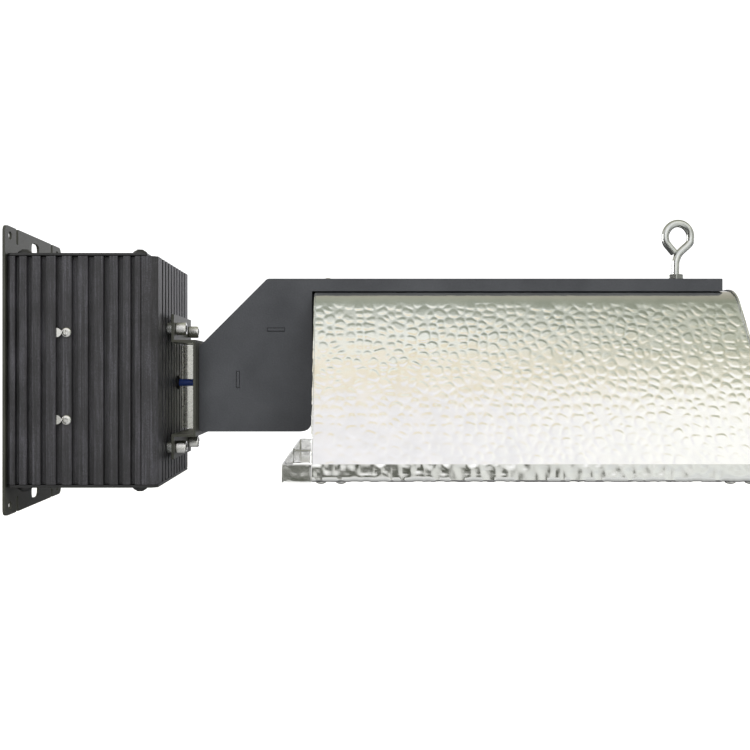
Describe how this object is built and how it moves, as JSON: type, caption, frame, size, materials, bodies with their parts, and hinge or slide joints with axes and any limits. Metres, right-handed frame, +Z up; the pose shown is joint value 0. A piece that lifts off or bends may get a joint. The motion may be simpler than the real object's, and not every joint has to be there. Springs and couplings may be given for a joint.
{
  "type": "grow lamp",
  "caption": "Grow lamp with a finned ballast on a slotted plate, a sheet-metal arm and spine, a hammered aluminium reflector and a double-ended lamp.",
  "frame": {"origin": "centre of the mounting plate's outer face", "axes": "+X from the ballast to the reflector, +Y to the back, +Z up"},
  "size_m": [0.617, 0.25, 0.2346],
  "materials": {
    "plate_steel": "dark olive-black powder coat",
    "anodised_aluminium": "black anodised, satin",
    "cap_paint": "black satin paint",
    "arm_paint": "black powder coat, fine texture",
    "hammered_aluminium": "hammered and bright",
    "bright_screws": "bright zinc",
    "zinc_steel": "zinc plated",
    "bare_aluminium": "mill finish",
    "contact_brass": "nickel-plated brass",
    "grommet_rubber": "matt",
    "blue_sleeve": "smooth blue silicone",
    "glass_fibre_sleeve": "braided glass fibre",
    "ceramic": "unglazed steatite",
    "quartz": "clear fused quartz",
    "arc_ceramic": "translucent alumina",
    "copper": "enamelled copper wire",
    "ferrite": "matt grey-black",
    "board_green": "solder mask",
    "capacitor_foil": "dark blue sleeve",
    "black_plastic": "fine texture",
    "grey_plastic": "fine texture",
    "pale_board": "pressed insulating board"
  },
  "bodies": {
    "root": {"arm_cover": "arm_paint", "arm_grommet": "grommet_rubber", "arm_housing": "arm_paint", "ballast_bottom_cap": "cap_paint", "ballast_front_shell": "anodised_aluminium", "ballast_grommet": "grommet_rubber", "ballast_rear_shell": "anodised_aluminium", "ballast_top_cap": "cap_paint", "bracket_bolt_lower_back": "bright_screws", "bracket_bolt_lower_front": "bright_screws", "bracket_bolt_upper_back": "bright_screws", "bracket_bolt_upper_front": "bright_screws", "bracket_spacer_lower_back": "zinc_steel", "bracket_spacer_lower_front": "zinc_steel", "bracket_spacer_upper_back": "zinc_steel", "bracket_spacer_upper_front": "zinc_steel", "capacitor_lower": "capacitor_foil", "capacitor_upper": "capacitor_foil", "circuit_board": "board_green", "control_port": "grey_plastic", "copper_winding_lower": "copper", "copper_winding_upper": "copper", "dial_switch": "grey_plastic", "end_bracket": "plate_steel", "eye_lock_nut": "zinc_steel", "eye_spacer": "zinc_steel", "eye_top_nut": "zinc_steel", "eye_washer": "zinc_steel", "ferrite_core_lower": "ferrite", "ferrite_core_upper": "ferrite", "front_screw_lower": "bright_screws", "front_screw_upper": "bright_screws", "gap_shield": "pale_board", "heat_clamp_bar": "bare_aluminium", "lamp_cable": "blue_sleeve", "left_contact": "contact_brass", "left_holder_bracket": "arm_paint", "left_holder_spacer": "zinc_steel", "left_lamp_holder": "ceramic", "left_lead": "glass_fibre_sleeve", "mounting_plate": "plate_steel", "power_inlet": "black_plastic", "reflector_back": "hammered_aluminium", "reflector_front": "hammered_aluminium", "reflector_left_end": "hammered_aluminium", "reflector_right_end": "hammered_aluminium", "right_contact": "contact_brass", "right_holder_box": "arm_paint", "right_lamp_holder": "ceramic", "spine_lead": "glass_fibre_sleeve", "spine_screw": "bright_screws", "spine_spacer": "zinc_steel", "terminal_block": "ceramic"},
    "lamp": {"lamp_tube": "quartz", "arc_tube": "arc_ceramic", "lamp_left_end": "ceramic", "lamp_right_end": "ceramic"},
    "power_dial": {"power_dial": "black_plastic"},
    "eye_bolt": {"eye_bolt": "zinc_steel"}
  },
  "joints": [
    {"name": "lamp_release", "type": "slide", "parent": "root", "child": "lamp", "axis": [0, 0, -1], "range_m": [0, 0.11]},
    {"name": "power_dial_turn", "type": "hinge", "parent": "root", "child": "power_dial", "pos_m": [0.084, 0.031, -0.092], "axis": [0, 0, -1], "range_deg": [-150, 150]},
    {"name": "eye_bolt_swivel", "type": "hinge", "parent": "root", "child": "eye_bolt", "pos_m": [0.5303, 0, 0.08], "axis": [0, 0, 1], "range_deg": [-180, 180]}
  ]
}
